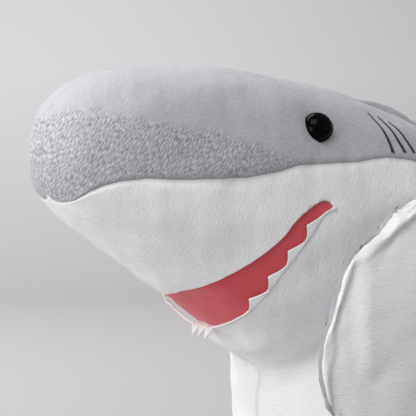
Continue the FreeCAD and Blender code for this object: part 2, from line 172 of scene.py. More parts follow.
def plushMaterial(name, look, ruffled):
    # knitted polyester with a short combed pile: matt, a soft sheen at the edges,
    # streaked where tufts lean over
    material, tree, shader = newMaterial(name, look["roughness"], Sheen_Weight=look["sheen"],
                                         Sheen_Roughness=0.45,
                                         Specular_IOR_Level=0.2)
    cloth = addNode(tree, "ShaderNodeUVMap", uv_map="cloth").outputs["UV"]
    place = addNode(tree, "ShaderNodeTexCoord").outputs["Object"]
    fine = pileStreaks(tree, cloth, look["pileWidth"], look["pileLength"], look["lay"], 3.0)
    cloud = addNode(tree, "ShaderNodeTexNoise", {"Vector": place, "Scale": 1000 / 70,
                                                 "Detail": 2.0}).outputs["Fac"]
    shade = addNode(tree, "ShaderNodeAttribute", attribute_name="shade").outputs["Fac"]
    cloudy = addNode(tree, "ShaderNodeMapRange",
                     {"Value": cloud, "From Min": 0.3, "From Max": 0.7, "To Min": -0.07,
                      "To Max": 0.07}).outputs[0]
    fineDepth = addNode(tree, "ShaderNodeMapRange",
                        {"Value": fine, "From Min": 0.35, "From Max": 0.68, "To Min": 0.0,
                         "To Max": 0.55}).outputs[0]
    height = fine
    total = addNode(tree, "ShaderNodeMath", {0: fineDepth, 1: cloudy}, operation="ADD",
                    use_clamp=True).outputs[0]
    base = addNode(tree, "ShaderNodeMix", {"Factor": total, "A": linearColour(look["colour"]),
                                           "B": linearColour(look["dark"])},
                   data_type="RGBA").outputs["Result"]
    if ruffled:
        # the long pile is brushed one way over the whole cheek and snout, alike on both sides
        axes = addNode(tree, "ShaderNodeSeparateXYZ", {"Vector": place})
        across = addNode(tree, "ShaderNodeMath", {0: axes.outputs["Y"]}, operation="ABSOLUTE").outputs[0]
        halved = addNode(tree, "ShaderNodeMath", {0: across, 1: 0.5}, operation="MULTIPLY").outputs[0]
        back = addNode(tree, "ShaderNodeMath", {0: axes.outputs["X"], 1: 0.866, 2: halved},
                       operation="MULTIPLY_ADD").outputs[0]
        down = addNode(tree, "ShaderNodeMath", {0: axes.outputs["Z"], 1: -1.0},
                       operation="MULTIPLY").outputs[0]
        brushed = addNode(tree, "ShaderNodeCombineXYZ", {"X": back, "Y": down}).outputs[0]
        coarse = pileStreaks(tree, brushed, look["ruffleWidth"], look["ruffleLength"], look["ruffleLay"],
                             9.0, 0.15, 1.0)
        mask = addNode(tree, "ShaderNodeAttribute", attribute_name="ruffle").outputs["Fac"]
        rough = addNode(tree, "ShaderNodeMapRange",
                        {"Value": coarse, "From Min": 0.36, "From Max": 0.64, "To Min": 1.0,
                         "To Max": 0.0}).outputs[0]
        tufts = addNode(tree, "ShaderNodeMix", {"Factor": rough, "A": linearColour(look["ruffleLight"]),
                                                "B": linearColour(look["ruffleDark"])},
                        data_type="RGBA").outputs["Result"]
        base = addNode(tree, "ShaderNodeMix", {"Factor": mask, "A": base, "B": tufts},
                       data_type="RGBA").outputs["Result"]
        height = addNode(tree, "ShaderNodeMix", {"Factor": mask, "A": fine, "B": coarse},
                         data_type="FLOAT").outputs[0]
    # painted shade: the colour is pulled towards the seam shade colour along the seams, where the sunk seams
    # lie in shade
    seamShadedColour = addNode(tree, "ShaderNodeMix", {"Factor": shade, "A": base, "B": linearColour(look["seam"])},
                     data_type="RGBA").outputs["Result"]
    bump = addNode(tree, "ShaderNodeBump", {"Height": height, "Strength": 0.55,
                                            "Distance": 1.1 * mm}).outputs["Normal"]
    tree.links.new(seamShadedColour, shader.inputs["Base Color"])
    tree.links.new(bump, shader.inputs["Normal"])
    return material


def liningMaterial():
    # thin ribbed knit: dull, fine diagonal ribs
    look = liningLook
    material, tree, shader = newMaterial("ribbedPolyesterKnit", look["roughness"], Sheen_Weight=0.25,
                                         Specular_IOR_Level=0.25)
    cloth = addNode(tree, "ShaderNodeUVMap", uv_map="cloth").outputs["UV"]
    turned = addNode(tree, "ShaderNodeVectorRotate", {"Vector": cloth, "Angle": math.radians(-35)},
                     rotation_type="Z_AXIS").outputs[0]
    rib = addNode(tree, "ShaderNodeTexWave", {"Vector": turned, "Scale": 1000 / look["rib"] / 6.283,
                                              "Distortion": 0.6,
                                             "Detail Scale": 2.0}).outputs["Fac"]
    cloud = addNode(tree, "ShaderNodeTexNoise", {"Vector": cloth, "Scale": 1000 / 22}).outputs["Fac"]
    mixed = addNode(tree, "ShaderNodeMath", {0: rib, 1: cloud}, operation="MULTIPLY").outputs[0]
    base = addNode(tree, "ShaderNodeMix", {"Factor": mixed, "A": linearColour(look["colour"]),
                                           "B": linearColour(look["dark"])},
                   data_type="RGBA").outputs["Result"]
    bump = addNode(tree, "ShaderNodeBump", {"Height": rib, "Strength": 0.35,
                                            "Distance": 0.4 * mm}).outputs["Normal"]
    tree.links.new(base, shader.inputs["Base Color"])
    tree.links.new(bump, shader.inputs["Normal"])
    return material


def feltMaterial():
    # pressed polyester felt: matt white, short tangled fibres
    look = feltLook
    material, tree, shader = newMaterial("pressedPolyesterFelt", look["roughness"], Sheen_Weight=0.2,
                                         Specular_IOR_Level=0.2)
    place = addNode(tree, "ShaderNodeTexCoord").outputs["Object"]
    fibre = addNode(tree, "ShaderNodeTexNoise", {"Vector": place, "Scale": 1000 / look["fibre"],
                                                 "Detail": 3.0, "Distortion": 1.5}).outputs["Fac"]
    base = addNode(tree, "ShaderNodeMix", {"Factor": fibre, "A": linearColour(look["colour"]),
                                           "B": linearColour(look["dark"])},
                   data_type="RGBA").outputs["Result"]
    bump = addNode(tree, "ShaderNodeBump", {"Height": fibre, "Strength": 0.3,
                                            "Distance": 0.3 * mm}).outputs["Normal"]
    tree.links.new(base, shader.inputs["Base Color"])
    tree.links.new(bump, shader.inputs["Normal"])
    return material


def eyeMaterial():
    # polished black ABS: hard clear reflections, faint moulding waviness
    look = eyeShine
    material, tree, shader = newMaterial("polishedBlackAbs", look["roughness"], IOR=1.5,
                                         Specular_IOR_Level=look["specular"])
    place = addNode(tree, "ShaderNodeTexCoord").outputs["Object"]
    wave = addNode(tree, "ShaderNodeTexNoise", {"Vector": place, "Scale": 1000 / 9,
                                                "Detail": 1.0}).outputs["Fac"]
    scuff = addNode(tree, "ShaderNodeMapRange", {"Value": wave, "To Min": look["roughness"] * 0.6,
                                                 "To Max": look["roughness"] * 1.6}).outputs[0]
    bump = addNode(tree, "ShaderNodeBump", {"Height": wave, "Strength": 0.06,
                                            "Distance": 0.4 * mm}).outputs["Normal"]
    shader.inputs["Base Color"].default_value = linearColour(look["colour"])
    tree.links.new(scuff, shader.inputs["Roughness"])
    tree.links.new(bump, shader.inputs["Normal"])
    return material


def threadMaterial():
    # rayon embroidery thread in satin stitch: dark, with a painted sheen line across every stitch
    look = threadLook
    material, tree, shader = newMaterial("satinEmbroideryThread", look["roughness"], Sheen_Weight=0.15)
    cloth = addNode(tree, "ShaderNodeUVMap", uv_map="cloth").outputs["UV"]
    strand = addNode(tree, "ShaderNodeTexWave", {"Vector": cloth, "Scale": 1000 / look["stitch"] / 6.283,
                                                 "Distortion": 1.0}).outputs["Fac"]
    # painted sheen: the same wave that gives the stitch relief also lightens a line on every stitch
    base = addNode(tree, "ShaderNodeMix", {"Factor": strand, "A": linearColour(look["colour"]),
                                           "B": linearColour("#1B1B20")},
                   data_type="RGBA").outputs["Result"]
    bump = addNode(tree, "ShaderNodeBump", {"Height": strand, "Strength": 0.4,
                                            "Distance": 0.2 * mm}).outputs["Normal"]
    tree.links.new(base, shader.inputs["Base Color"])
    tree.links.new(bump, shader.inputs["Normal"])
    return material


def washerMaterial():
    # moulded natural polypropylene: waxy, slightly mottled
    material, tree, shader = newMaterial("mouldedPolypropylene", 0.45, IOR=1.49)
    place = addNode(tree, "ShaderNodeTexCoord").outputs["Object"]
    mottle = addNode(tree, "ShaderNodeTexNoise",
                     {"Vector": place, "Scale": 1000 / 4, "Detail": 2.0}).outputs["Fac"]
    base = addNode(tree, "ShaderNodeMix", {"Factor": mottle, "A": linearColour("#ECEBE6"),
                                           "B": linearColour("#DCDAD2")},
                   data_type="RGBA").outputs["Result"]
    tree.links.new(base, shader.inputs["Base Color"])
    return material


greyPile = plushMaterial("combedGreyPlush", greyLook, True)
whitePile = plushMaterial("combedWhitePlush", whiteLook, False)
liningKnit = liningMaterial()
pressedFelt = feltMaterial()
eyePlastic = eyeMaterial()
satinThread = threadMaterial()
washerPlastic = washerMaterial()


# stations along the shark in mm: back x, back z, belly x, belly z, half width
bodyStations = [
    (-316, 420, -317, 412, 4), (-309, 441, -314, 388, 32), (-292, 460, -302, 365, 58), (-256, 475, -270,
                                                                                        338, 83),
    (-204, 482, -225, 304, 98), (-140, 481, -180, 269, 107), (-75, 471, -141, 240, 112),
    (-10, 453, -119, 224, 116), (55, 431, -106, 204, 119), (105, 392, -105, 176, 121),
    (128, 325, -104, 129, 123), (145, 262, -97, 60, 124), (182, 225, -60, 0, 121), (232, 212, 50, -10, 116),
    (290, 203, 190, -12, 110), (352, 189, 310, -10, 100), (425, 165, 405, 6, 84), (505, 139, 495, 26, 64),
    (585, 116, 580, 45, 44), (645, 104, 642, 62, 30)]
# grey meets white: station, angle round from the spine
colourSeam = [(0, 180), (1.6, 180), (1.75, 177), (1.87, 168), (1.97, 155), (2.07, 139), (2.2, 126),
              (2.4, 116),
              (2.66, 108.5), (3.1, 101), (4.0, 92), (4.6, 88),
              (5.1, 82), (5.4, 77), (5.9, 72), (6.4, 67), (6.9, 60), (7.4, 56), (8, 57), (9, 62), (10, 70),
              (11, 78), (12, 86), (13, 90), (20, 90)]
# upper edge of the ruffled pile on snout and cheek, in side view
browLine = [(-330, 434), (-309, 439), (-305, 444), (-281, 441), (-253, 434), (-194, 423), (-138, 403),
            (-100, 385)]

bodyLook = {
    "squareness": 2.35, "greyRows": 62, "whiteRows": 66, "seamSink": 1.3, "seamWidth": 3.2,
    "plumpness": 2.6, "wrinkle": 0.55, "eyeDimple": 2.6, "splitStation": 12.5,
}

upperLip = [(-99, 362), (-105, 368), (-113, 368), (-124, 362), (-136, 353), (-146, 341), (-158, 329),
            (-172, 317),
            (-184, 308), (-196, 299), (-203, 291), (-200, 282), (-190, 270), (-180, 255)]
lowerLip = [(-99, 362), (-110, 358), (-124, 340), (-140, 318), (-151, 297), (-159, 279), (-164, 262),
            (-165, 235)]
eyeSpot = (-105, 430)
gillLines = [
    [(-38, 442), (-34, 431), (-32.5, 421), (-32, 413), (-32.5, 407)],
    [(-27, 439), (-24, 430), (-21.5, 421), (-19, 413), (-18, 407)],
    [(-18.5, 434), (-14, 427), (-10.5, 420), (-7.5, 413), (-6, 407)]]


def bodySurface(s, angle, depth=0.0):
    # points in mm on the stuffed body; angle is in degrees from the spine, positive round the left side
    tx, tz, bx, bz, wide = np.moveaxis(catmull(bodyStations, s), -1, 0)
    half = 0.5 * np.hypot(tx - bx, tz - bz)
    c, n = np.cos(np.radians(angle)), np.sin(np.radians(angle))
    power = 2 / bodyLook["squareness"]
    up = np.sign(c) * np.abs(c) ** power * np.maximum(1 - depth / half, 0.1)
    side = np.sign(n) * np.abs(n) ** power * np.maximum(wide - depth, wide * 0.1)
    return np.stack([0.5 * (tx + bx) + 0.5 * up * (tx - bx), -side,
                     0.5 * (tz + bz) + 0.5 * up * (tz - bz)], -1)


def sideSpot(x, z):
    # station and angle of the left-side point seen at x, z in side view
    s = np.linspace(0.3, 12, 2400)
    tx, tz, bx, bz, wide = np.moveaxis(catmull(bodyStations, s), -1, 0)
    cross = (tx - bx) * (z - bz) - (tz - bz) * (x - bx)
    k = int(np.argmax(np.sign(cross[:-1]) != np.sign(cross[1:])))
    acrossX, acrossZ = tx[k] - bx[k], tz[k] - bz[k]
    along = ((x - bx[k]) * acrossX + (z - bz[k]) * acrossZ) / (acrossX ** 2 + acrossZ ** 2)
    c = np.clip(2 * along - 1, -1, 1)
    c = math.copysign(abs(c) ** (bodyLook["squareness"] / 2), c)
    return s[k], math.degrees(math.acos(c))


def bodyGrid():
    seam = np.array(colourSeam, float)
    stations = np.concatenate([np.arange(0, 1, 0.04), np.arange(1, 4.2, 0.045), np.arange(4.2, 6.4, 0.026),
                               np.arange(6.4, 9, 0.045), np.arange(9, 19.001, 0.0625)])
    capTurns = (0.45, 0.85, 1.2, 1.45, math.pi / 2)
    stations = np.concatenate([stations, 19 + 0.001 * np.arange(1, len(capTurns) + 1)])
    grey, white = bodyLook["greyRows"], bodyLook["whiteRows"]
    half = grey + white
    seamAt = np.interp(stations, seam[:, 0], seam[:, 1])
    ring = np.arange(2 * half)
    j = np.where(ring <= half, ring, 2 * half - ring)[None, :]
    angle = np.where(j <= grey, seamAt[:, None] * j / grey,
                     seamAt[:, None] + (180 - seamAt[:, None]) * (j - grey) / white)
    side = np.where(ring <= half, 1.0, -1.0)[None, :]
    s = np.repeat(stations[:, None], 2 * half, 1)
    points = bodySurface(s, angle * side)
    points[0] = points[0].mean(0)
    middle, last = points[-1].mean(0), points[-1].copy()
    for k, turn in enumerate(capTurns):
        rounded = middle + (last - middle) * math.cos(turn)
        points[len(points) - len(capTurns) + k] = rounded + [10 * math.sin(turn), 0, 0]
    return {"s": s, "angle": angle, "side": np.repeat(side, len(stations), 0),
            "seamAt": np.repeat(seamAt[:, None], 2 * half, 1),
            "points": points, "columns": 2 * half, "rows": len(stations), "j": np.repeat(j, len(stations),
                                                                                         0)}


def shapeBody(grid):
    # plump panels, sunk seams, soft dents and puckers
    faces = gridFaces(grid["rows"], grid["columns"], True)
    points = grid["points"].reshape(-1, 3)
    normals = vertexNormals(points, faces)
    s, angle = grid["s"].ravel(), grid["angle"].ravel()
    wide = catmull(bodyStations, s)[:, 4]
    seamGap = np.abs(angle - grid["seamAt"].ravel()) / 180 * math.pi * np.maximum(wide, 20)
    spineGap = np.abs(angle) / 180 * math.pi * wide
    lift = bodyLook["plumpness"] * softNoise(points, 150, 3) + bodyLook["wrinkle"] * softNoise(points, 38,
                                                                                               5)
    pucker = softNoise(points, 13, 8, 1)
    sewnHere = smoothStep(1.7, 2.1, s)
    nearSeam = np.exp(-(seamGap / 14) ** 2) * sewnHere
    lift += 0.35 * pucker * nearSeam
    lift -= bodyLook["seamSink"] * np.exp(-(seamGap / bodyLook["seamWidth"]) ** 2) * sewnHere - 0.8 * nearSeam
    lift -= 0.7 * np.exp(-(spineGap / 2.6) ** 2) * smoothStep(1.2, 2.2, s)
    throat = np.exp(-((s - 7.75) / 0.55) ** 2) * smoothStep(110, 160, angle)
    # the underside is drawn in where the jaw is sewn to the snout
    lift -= 6.0 * smoothStep(138, 166, angle) * smoothStep(4.1, 4.9, s) * smoothStep(6.3, 5.5, s)
    # the nape dips in front of the back fin
    lift -= 5.5 * np.exp(-((points[:, 0] - 42) / 34) ** 2) * smoothStep(55, 15,
                                                                        angle) * (points[:, 2] > 300)
    lift -= 5.0 * throat + 1.6 * throat * softNoise(points * [0.4, 1, 1], 40, 12)
    x, z = eyeSpot
    eyeGap = np.hypot(points[:, 0] - x, points[:, 2] - z)
    lift -= bodyLook["eyeDimple"] * np.exp(-(eyeGap / 15) ** 2) * (np.abs(points[:, 1]) > 40)
    for line in gillLines:
        for a, b in zip(line, line[1:]):
            lift -= 0.25 * np.exp(-(np.hypot(points[:, 0] - (a[0] + b[0]) / 2,
                                             points[:, 2] - (a[1] + b[1]) / 2) / 6) ** 2)
    lift *= smoothStep(0.0, 0.9, s)
    points = points + normals * lift[:, None]
    flat = 5.0
    points[:, 2] = 0.5 * (points[:, 2] + np.sqrt(points[:, 2] ** 2 + flat ** 2))
    grid["normals"] = vertexNormals(points, faces)
    # cloth coordinates in metres: along the side, and round from the spine
    middle = bodySurface(grid["s"][:, 0], np.full(grid["rows"], 90.0))
    along = np.concatenate([[0], np.cumsum(np.linalg.norm(np.diff(middle, axis=0), axis=1))])
    ringed = points.reshape(grid["rows"], grid["columns"], 3)
    around = np.cumsum(np.linalg.norm(np.diff(ringed, axis=1, prepend=ringed[:, :1]), axis=2), axis=1)
    half = grid["columns"] // 2
    around[:, half + 1:] -= 2 * around[:, half][:, None]
    u = np.repeat(along[:, None], grid["columns"], 1)
    grid["uv"] = np.stack([u, around], -1).reshape(-1, 2) * mm
    grid["points"], grid["faces"] = points, faces
    return grid


def lipCurve(rows, count=90):
    return catmull(rows, np.linspace(0, len(rows) - 1, count))


def mouthField(points):
    # distance in mm from the edge of the mouth in side view, positive inside
    outline = np.concatenate([lipCurve(upperLip), lipCurve(lowerLip)[::-1]])
    p = points[:, [0, 2]]
    best = np.full(len(p), 1e9)
    inside = np.zeros(len(p), bool)
    for a, b in zip(outline, np.roll(outline, -1, 0)):
        d = b - a
        if np.hypot(*d) < 1e-6:
            continue
        t = np.clip(((p - a) @ d) / (d @ d), 0, 1)
        best = np.minimum(best, np.linalg.norm(p - a - t[:, None] * d, axis=1))
        crosses = (a[1] > p[:, 1]) != (b[1] > p[:, 1])
        with np.errstate(divide="ignore", invalid="ignore"):
            reach = d[0] * (p[:, 1] - a[1]) / d[1] + a[0]
        inside ^= crosses & (p[:, 0] < reach)
    return np.where(inside, best, -best)


def splitFaces(data, faces, field, level):
    # cuts faces along field == level, with the data columns interpolated at the cuts;
    # returns the data, the faces below, the faces above and the new points
    value = field - level
    above = value > 0
    count = above[faces].sum(1)
    low = [tuple(f) for f in faces[count == 0]]
    high = [tuple(f) for f in faces[count == faces.shape[1]]]
    extra, made = [], {}
    start = len(data)

    def cutPoint(a, b):
        key = (min(a, b), max(a, b))
        if key not in made:
            t = value[a] / (value[a] - value[b])
            extra.append(data[a] * (1 - t) + data[b] * t)
            made[key] = start + len(extra) - 1
        return made[key]

    for face in faces[(count > 0) & (count < faces.shape[1])]:
        under, over = [], []
        for a, b in zip(face, np.roll(face, -1)):
            (over if above[a] else under).append(int(a))
            if above[a] != above[b]:
                middle = cutPoint(int(a), int(b))
                under.append(middle)
                over.append(middle)
        if len(under) > 2:
            low.append(tuple(under))
        if len(over) > 2:
            high.append(tuple(over))
    data = np.concatenate([data, np.array(extra)]) if extra else data
    return data, low, high, sorted(made.values())


def pickPiece(name, data, faces, material, marks=None):
    # keeps only the points that these faces use; data is point, normal, cloth uv, ruffle, shade
    used = np.unique(np.concatenate([np.array(f) for f in faces]))
    order = np.full(len(data), -1)
    order[used] = np.arange(len(used))
    rows = data[used]
    return makePiece(name, rows[:, :3] * mm, [tuple(order[list(f)]) for f in faces], material, rows[:, 6:8],
                     rows[:, 3:6], {"ruffle": rows[:, 8], "shade": rows[:, 9]})


def markBody(grid):
    # marks for the ruffled pile and for the painted shade along the seams
    s, angle = grid["s"].ravel(), grid["angle"].ravel()
    x, z = grid["points"][:, 0], grid["points"][:, 2]
    brow = np.interp(x, [b[0] for b in browLine], [b[1] for b in browLine])
    grid["ruffle"] = smoothStep(-5, 4, brow - z + 2.5 * softNoise(grid["points"], 12, 40,
                                                                  1)) * smoothStep(5.9, 5.3, s)
    wide = np.maximum(catmull(bodyStations, s)[:, 4], 20)
    seamGap = np.abs(angle - grid["seamAt"].ravel()) / 180 * math.pi * wide
    # painted shade: a darker line along the colour seam, standing in for the shadow in the sunk seam
    grid["shade"] = np.exp(-(seamGap / 2.2) ** 2) * smoothStep(1.7, 2.1, s)
    return np.concatenate([grid["points"], grid["normals"], grid["uv"], grid["ruffle"][:, None],
                           grid["shade"][:, None]], 1)


def onBody(grid, s, angle, side=1.0):
    # point and normal of the shaped body at a station and angle
    half = grid["columns"] // 2
    seam = np.array(colourSeam, float)
    at = np.interp(s, seam[:, 0], seam[:, 1])
    grey, white = bodyLook["greyRows"], bodyLook["whiteRows"]
    j = np.where(angle <= at, angle / at * grey, grey + (angle - at) / np.maximum(180 - at, 1e-6) * white)
    column = np.where(np.asarray(side) > 0, j, 2 * half - j) % (2 * half)
    row = np.interp(s, grid["s"][:, 0], np.arange(grid["rows"]))
    r, c = np.minimum(np.floor(row).astype(int),
                      grid["rows"] - 2), np.floor(column).astype(int) % (2 * half)
    fr, fc = (row - r)[..., None], (column - np.floor(column))[..., None]
    found = []
    for name in ("points", "normals"):
        g = grid[name].reshape(grid["rows"], grid["columns"], 3)
        n = (c + 1) % (2 * half)
        ahead = g[r, c] * (1 - fc) + g[r, n] * fc
        behind = g[r + 1, c] * (1 - fc) + g[r + 1, n] * fc
        found.append(ahead * (1 - fr) + behind * fr)
    return found[0], found[1] / np.linalg.norm(found[1], axis=-1, keepdims=True)


def hemLips(data, faces, edgePoints, depth):
    # turns the cut edge of the skin inwards, so that the lips have thickness
    edgeSet = set(edgePoints)
    count = {}
    for face in faces:
        for a, b in zip(face, face[1:] + face[:1]):
            if a in edgeSet and b in edgeSet:
                count[(a, b)] = True
    edges = [(a, b) for a, b in count if (b, a) not in count]
    rim = sorted({v for e in edges for v in e})
    rows = data[rim]
    step = 0.4
    slope = np.stack([(mouthField(rows[:, :3] + d) - mouthField(rows[:, :3] - d)) for d in ([step, 0, 0],
                                                                                            [0, 0,
                                                                                             step])], -1)
    towards = np.stack([slope[:, 0], np.zeros(len(rows)), slope[:, 1]], -1)
    towards /= np.maximum(np.linalg.norm(towards, axis=1), 1e-9)[:, None]
    inner = rows.copy()
    inner[:, :3] -= rows[:, 3:6] * depth
    inner[:, 3:6] = towards * 0.9 - rows[:, 3:6] * 0.3
    data[rim, 3:6] = rows[:, 3:6] * 0.75 + towards * 0.66
    start = len(data)
    place = {v: start + k for k, v in enumerate(rim)}
    quads = [(b, a, place[a], place[b]) for a, b in edges]
    return np.concatenate([data, inner]), faces + quads


def buildSkins(grid, data):
    # sewn panels of the body as separate pieces
    grey, half = bodyLook["greyRows"], grid["columns"] // 2
    faces = grid["faces"]
    i, j = np.divmod(np.arange(len(faces)), grid["columns"])
    s = grid["s"][i, 0]
    left, right = j < grey, j >= 2 * half - grey
    front = s < bodyLook["splitStation"]
    pieces = {}
    pieces["greyBackLeft"] = pickPiece("greyBackLeft", data, faces[left & front], greyPile)
    pieces["greyBackRight"] = pickPiece("greyBackRight", data, faces[right & front], greyPile)
    pieces["greyTailLeft"] = pickPiece("greyTailLeft", data, faces[left & ~front], greyPile)
    pieces["greyTailRight"] = pickPiece("greyTailRight", data, faces[right & ~front], greyPile)
    white = ~left & ~right & (grid["seamAt"][i + 1, 0] < 179.5)
    middle = data[faces].mean(1)
    floorFace = white & (data[faces][:, :, 2].max(1) < 2.2) & (np.abs(s - 13.8) < 2.3)
    pieces["whiteTail"] = pickPiece("whiteTail", data, faces[white & ~front & ~floorFace], whitePile)
    pieces["bellyPanel"] = pickPiece("bellyPanel", data, faces[floorFace], whitePile)
    pieces["chestAndSides"] = pickPiece("chestAndSides", data,
                                        faces[white & front & ~floorFace & (s >= 7.6)], whitePile)
    head = white & front & (s < 7.6)
    field = np.full(len(data), -99.0)
    near = np.unique(faces[head & (s > 3.9)])
    field[near] = mouthField(data[near])
    midLip = np.array([(262, -190), (285, -178), (305, -165), (325, -150), (345, -135), (358, -118),
                       (362, -99)])
    chin = (middle[:, 2] < 362) & (middle[:, 0] > np.interp(middle[:, 2], midLip[:, 0], midLip[:, 1]))
    for name, chosen in (("whiteMuzzle", head & ~chin), ("chinAndThroat", head & chin)):
        cut, outside, _, edge = splitFaces(data, faces[chosen], field, 0.0)
        cut, outside = hemLips(cut, [tuple(int(v) for v in f) for f in outside], edge, 4.0)
        pieces[name] = pickPiece(name, cut, outside, whitePile)
    cut, _, inside, _ = splitFaces(data, faces[head], field, -5.0)
    shallow = smoothStep(75, 45, np.abs(cut[:, 1])) * smoothStep(-140, -158, cut[:, 0])
    depth = (1.6 + 1.1 * smoothStep(0, 5, mouthField(cut))) * (1 - 0.8 * shallow)
    cut[:, :3] -= cut[:, 3:6] * depth[:, None]
    pieces["mouthLining"] = pickPiece("mouthLining", cut, inside, liningKnit)
    return pieces


toothLook = {"pitch": 26.2, "phase": 0.641, "tall": 7.4, "edge": 0.9, "band": 1.6, "firstTip": 74.0,
             "lastTip": 168.0,
             "frontTips": (-17.0, -5.0, 7.0), "frontHalf": 5.8, "frontTall": 11.0, "felt": 1.1}


def toothHeight(signedRun):
    # low scallops along both sides, a few long teeth at the front
    look = toothLook
    run = np.abs(signedRun)
    p = (run / look["pitch"] + look["phase"]) % 1.0
    falling = np.clip(1 - p / 0.6, 0, 1) ** 1.35
    rising = np.clip((p - 0.6) / 0.4, 0, 1) ** 1.5 * (run < look["lastTip"])
    side = np.where(p < 0.6, falling, rising)
    side = side * smoothStep(look["firstTip"], look["firstTip"] + 3, run)
    front = sum(np.clip(1 - np.abs(signedRun - tip) / look["frontHalf"], 0,
                        1) ** 0.8 for tip in look["frontTips"])
    return look["edge"] + look["tall"] * side + look["frontTall"] * front


def buildTeeth(grid):
    look = toothLook
    curve = lipCurve(lowerLip, 260)
    spots = [sideSpot(x, z) for x, z in curve]
    count = next((k for k, spot in enumerate(spots) if spot[1] > 178.5), len(spots))
    spots = np.array(spots[:count])
    points, normals = onBody(grid, spots[:, 0], spots[:, 1])
    flip = np.array([1, -1, 1])
    points = np.concatenate([points, (points * flip)[::-1]])
    normals = np.concatenate([normals, (normals * flip)[::-1]])
    length = np.concatenate([[0], np.cumsum(np.linalg.norm(np.diff(points, axis=0), axis=1))])
    steps = np.arange(0, length[-1], 0.9)
    base = np.stack([np.interp(steps, length, points[:, k]) for k in range(3)], -1)
    out = np.stack([np.interp(steps, length, normals[:, k]) for k in range(3)], -1)
    for _ in range(6):
        base[1:-1] = (base[:-2] + 2 * base[1:-1] + base[2:]) / 4
        out[1:-1] = (out[:-2] + 2 * out[1:-1] + out[2:]) / 4
    out /= np.linalg.norm(out, axis=1)[:, None]
    along = np.gradient(base, axis=0)
    along /= np.linalg.norm(along, axis=1)[:, None]
    upward = np.cross(along, out)
    if upward[len(upward) // 4] @ np.array([-1, 0, 1]) < 0:
        upward = -upward
    signedRun = steps - length[-1] / 2
    run = np.abs(signedRun)
    print("tooth strip half length in mm:", round(float(length[-1] / 2), 1))
    taper = smoothStep(length[-1] / 2, length[-1] / 2 - 14, run)
    tall = toothHeight(signedRun) * (0.25 + 0.75 * taper)
    flop = np.radians(98) * (1 - smoothStep(40, 52, run))
    sunk = 1.3 * smoothStep(13, 20, signedRun) * smoothStep(66, 58, signedRun)
    rows = []
    for t in (-1.0, -0.55, -0.1, 0.12, 0.35, 0.6, 0.82, 1.0):
        if t < 0:
            reach, lift = look["band"] * t * (0.3 + 0.7 * taper), -0.1 + 1.1 * (1 + t) - sunk
            rows.append(base + upward * reach[:, None] + out * lift[:, None])
        else:
            bend = flop * min(1, t * 2.2)
            curl = 0.9 + 0.35 * t + 0.5 * t * softNoise(base, 17, 21, 1) - sunk
            way = upward * np.cos(bend)[:, None] + out * np.sin(bend)[:, None]
            rows.append(base + way * (tall * t)[:, None]
                        + out * curl[:, None])
    points = np.concatenate(rows)
    faces = gridFaces(len(rows), len(base), False)
    uv = np.stack([np.tile(steps, len(rows)), np.repeat(np.linspace(-3, 9, len(rows)), len(base))], -1) * mm
    strip = makePiece("toothStrip", points * mm, faces, pressedFelt, uv)
    thick = strip.modifiers.new("felt", "SOLIDIFY")
    thick.thickness, thick.offset = look["felt"] * mm, 0.0
    return strip


eyeLook = {"radius": 12.6, "dome": 10.0, "rim": 13.6, "rimThick": 1.7, "seat": 0.6,
           "forward": (-0.5, 0, -0.04)}


def latheMesh(profile, count):
    turn = np.arange(count) * 2 * math.pi / count
    rings = [np.stack([r * np.cos(turn), r * np.sin(turn), np.full(count, z)], -1) for r, z in profile]
    return np.concatenate(rings), gridFaces(len(profile), count, True)


def buildEye(grid, side):
    look = eyeLook
    s, angle = sideSpot(*eyeSpot)
    sign = 1.0 if side == "Left" else -1.0
    here, _ = onBody(grid, np.array([s]), np.array([angle]), sign)
    a, b = bodySurface(np.array([s + 0.1, s]), np.array([angle, angle + 3.0]))
    base = bodySurface(np.array([s]), np.array([angle]))[0]
    out = np.cross(b - base, a - base)
    out /= np.linalg.norm(out)
    out[1] = -abs(out[1]) * sign
    out += look["forward"]
    out /= np.linalg.norm(out)
    r, h, rim, t = look["radius"], look["dome"], look["rim"], look["rimThick"]
    profile = [(0.01, -1.5), (rim * 0.6, -1.5), (rim - 0.5, -0.9), (rim, -0.1), (rim, t - 0.6),
               (rim - 0.25, t - 0.15),
               (rim - 0.8, t), (r + 0.35, t + 0.02), (r + 0.05, t + 0.12), (r, t + 0.45)]
    for k in range(1, 15):
        turn = k / 14 * math.pi / 2
        profile.append((max(r * math.cos(turn), 0.01), t + 0.45 + (h - 0.45) * math.sin(turn)))
    points, faces = latheMesh(profile, 64)
    across = np.cross(out, [0, 0, 1.0])
    across /= np.linalg.norm(across)
    seat = here[0] + out * look["seat"]
    points = seat + points[:, :1] * across + points[:, 1:2] * np.cross(out, across) + points[:, 2:] * out
    normals = vertexNormals(points, faces)
    piece = makePiece("eye" + side, points * mm, faces if normals[-1] @ out > 0 else faces[:, ::-1],
                      eyePlastic)
    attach(piece, "head")
    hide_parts("eye_" + side.lower())
    return piece


gillLook = {"thin": 1.7, "thick": 4.3, "raise": 0.75}


def ribbonMesh(path, out, width, height):
    # thread laid on the cloth: a low rounded ribbon along a path
    along = np.gradient(path, axis=0)
    along /= np.linalg.norm(along, axis=1)[:, None]
    across = np.cross(along, out)
    across /= np.linalg.norm(across, axis=1)[:, None]
    turns = np.linspace(0, math.pi, 9)
    rings = [path + across * (np.cos(t) * width / 2)[:, None] + out * (math.sin(t) * height - 0.2)
             for t in turns]
    return np.stack(rings, 1).reshape(-1, 3), gridFaces(len(path), len(turns), False)


